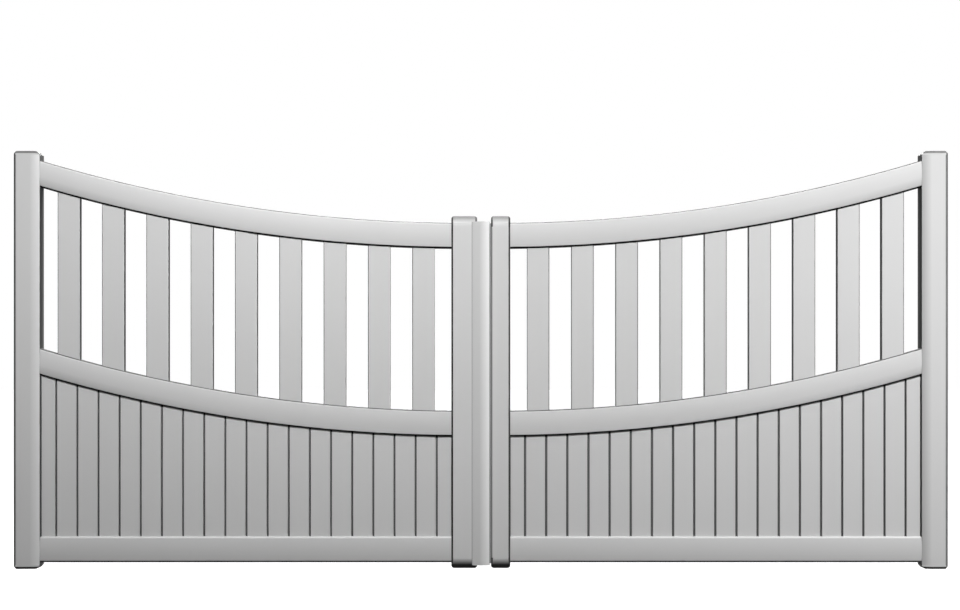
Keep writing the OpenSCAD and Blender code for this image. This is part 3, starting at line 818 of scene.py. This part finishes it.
# %% Set a screw on each hole
number = first(screws, "GeometryNodeInputIndex")
odd = calc(screws, "MODULO", number, 2.0)
upper = calc(screws, "GREATER_THAN", number, 1.5)
hole_x = calc(screws, "ADD", screws_in["Left"], calc(screws, "MULTIPLY", odd, screws_in["Apart"]))
up_or_down = calc(screws, "SUBTRACT", calc(screws, "MULTIPLY", upper, 2.0), 1.0)
hole_z = calc(screws, "ADD", screws_in["Hinge Z"], calc(screws, "MULTIPLY", up_or_down, screws_in["Up"]))
holes = first(screws, "GeometryNodeMeshLine", {"Count": 4})
holes = moved(screws, holes, hole_x, screws_in["Seat"], hole_z)
driven = set_on(screws, holes, screw, (-math.pi / 2, 0, 0))
end_of_tree(screws, screws_out, driven, screws_in["Right leaf"], (screw_steel, True))

upper_z = (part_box("left_upper_strap")[0].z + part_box("left_upper_strap")[1].z) / 2
for leaf in ("left", "right"):
    for level, hinge_z in {"lower": 0.0, "upper": upper_z}.items():
        piece = grow(f"{leaf}_{level}_strap_screws", screws, {"Hinge Z": hinge_z, "Right leaf": leaf == "right"})
        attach(piece, f"{leaf}_leaf")

# %% [markdown]
# Seal. The cover strip stops 5 mm short of the right meeting stile, so that either leaf can be opened first.
# A fin of grey rubber on the side of that stile closes the slit, and in the picture it is the dark line
# beside the strip. Its section, a flat foot and a thin fin, is run up the stile.

# %% The seal tree
strip_low, strip_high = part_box("cover_strip")
fin_behind, ends_short, seal_edge = 0.016, 0.004, 0.0007
seal, seal_in, seal_out = new_tree(
    "fin_seal", "GeometryNodeTree",
    {"Side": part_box("right_meeting_stile")[0].x, "Behind": strip_high.y + fin_behind, "Foot width": 0.018,
     "Foot thickness": 0.0022, "Fin reach": 0.009, "Fin thickness": 0.0016, "From": strip_low.z + ends_short,
     "To": strip_high.z - ends_short},
    {"Geometry": "NodeSocketGeometry"})
stick = line(seal, vector(seal, Z=seal_in["From"]), vector(seal, Z=seal_in["To"]))
fins = []
for across, along in ((seal_in["Foot thickness"], seal_in["Foot width"]),
                      (seal_in["Fin reach"], seal_in["Fin thickness"])):
    bar = extruded(seal, stick, rounded(seal, across, along, seal_edge, 4))
    fin_x = calc(seal, "SUBTRACT", seal_in["Side"], calc(seal, "MULTIPLY", across, 0.5))
    fins.append(lifted_by(seal, bar, vector(seal, X=fin_x, Y=seal_in["Behind"])))
end_of_tree(seal, seal_out, joined(seal, *fins), False, (seal_rubber, True))

piece = grow("meeting_seal", seal, {})
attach(piece, "right_leaf")

# %% [markdown]
# Floor and background. The picture shows the gate alone on white. A pale floor lies just below it and
# the world is white where it is looked at, straight or in a reflection. For all other light both are
# dim, because a white room would light the undersides of the rails, which are nearly black in the picture.

# %% The floor
def looked_at(tree):
    path = put(tree, "ShaderNodeLightPath").outputs
    mirrored = calc(tree, "MAXIMUM", path["Is Glossy Ray"], path["Is Transmission Ray"])
    return calc(tree, "MAXIMUM", path["Is Camera Ray"], mirrored)


floor_gap, floor_size = 0.05, 80
floor_top = foot_z - floor_gap
bpy.ops.mesh.primitive_plane_add(size=floor_size, location=(middle_x, 0, floor_top))
floor = bpy.context.object
floor.name = "drive_floor"
floor_finish, tree, shader = new_material("pale_floor")
seen = looked_at(tree)
away = put(tree, "ShaderNodeVectorMath", {0: on_piece(tree)}, operation="LENGTH").outputs["Value"]
glow = first(tree, "ShaderNodeMapRange", {
    "Value": away, "From Min": 1.5, "From Max": 6.0, "To Min": 0.86, "To Max": 1.0},
    interpolation_type="SMOOTHSTEP")
pale = first(tree, "ShaderNodeMapRange", {"Value": seen, "To Min": 0.06, "To Max": 0.4})
fill(tree, shader, {"Base Color": pale, "Emission Strength": calc(tree, "MULTIPLY", seen, glow),
                    "Emission Color": (1, 1, 1, 1), "Roughness": 1.0, "Specular IOR Level": 0.0})
floor.data.materials.append(floor_finish)
print("floor at", round(floor_top, 3))

# %% [markdown]
# Surround. It is full white where it is looked at, and about an eighth of that as light, so that the
# hidden sides are not quite black.

# %% The white surround
surround = bpy.data.worlds.new("white_surround")
scene.world = surround
surround.use_nodes = True
tree = surround.node_tree
dim = 0.12
strength = first(tree, "ShaderNodeMapRange", {"Value": looked_at(tree), "To Min": dim, "To Max": 1.0})
fill(tree, tree.nodes["Background"], {"Color": (1, 1, 1, 1), "Strength": strength})
scene.view_settings.view_transform = "Standard"
print("surround lights with", dim)

# %% [markdown]
# Light. In the picture the light comes from above and in front, stronger on the right, and the sides
# of the pickets stay dark. A long softbox with a grid does that: the grid stops light that leaves it
# at an angle, so faces turned to the side get little. A second box strengthens the right, and a small one
# the upper left. Dim boxes behind, above and at each end show the back and the open leaves.

# %% Lamps
def softbox(name, place, target, size, watts, spread):
    lamp = bpy.data.lights.new(name, "AREA")
    lamp.shape = "RECTANGLE"
    lamp.size, lamp.size_y = size
    lamp.energy = watts
    lamp.spread = math.radians(spread)
    holder = bpy.data.objects.new(name, lamp)
    holder.location = place
    holder.rotation_euler = (Vector(target) - Vector(place)).to_track_quat("-Z", "Y").to_euler()
    scene.collection.objects.link(holder)


front_y, front_z = -9.7, 8.6
yard_y, end_z, end_away = 0.7, 0.6, 8.0
softbox("front_softbox", (3.3, front_y, front_z), (3.3, 0, 1.35), (9.0, 1.2), 88, 24)
softbox("right_softbox", (5.4, front_y, front_z), (5.4, 0, 1.35), (4.0, 1.2), 34, 30)
softbox("left_softbox", (1.0, front_y, front_z), (1.0, 0, 1.95), (1.2, 1.0), 2.6, 12)
softbox("back_softbox", (1.75, 9.6, 7.6), (1.75, 0, 0.9), (9.0, 1.2), 60, 24)
softbox("top_softbox", (middle_x, 0.9, 6.0), (middle_x, 0.9, 0), (1.6, 1.6), 45, 90)
for name, end_x in (("left_end_softbox", -end_away), ("right_end_softbox", opening + end_away)):
    softbox(name, (end_x, yard_y, end_z), (middle_x, yard_y, end_z), (1.8, 1.6), 11, 20)

# %% [markdown]
# Camera. The picture was taken square to the gate from about 4 m, at about half the height of its ends,
# so the lens is set from that distance and from the size of a pixel on the gate.

# %% Camera
camera = bpy.data.objects.new("camera", bpy.data.cameras.new("camera"))
scene.collection.objects.link(camera)
leaf_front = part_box("left_hinge_stile")[0].y
stand_off, eye_z, off_centre = 4.1, 0.555, 0.003
metres_per_pixel, picture_w, raised_pixels, sensor_w = 0.003695, 960, 65.1, 36
camera.location = (middle_x - off_centre, leaf_front - stand_off, eye_z)
camera.rotation_euler = (math.pi / 2, 0, 0)
camera.data.sensor_width = sensor_w
camera.data.lens = stand_off / metres_per_pixel * sensor_w / picture_w
camera.data.shift_y = raised_pixels / picture_w
scene.camera = camera
print("lens", round(camera.data.lens, 2), "mm")
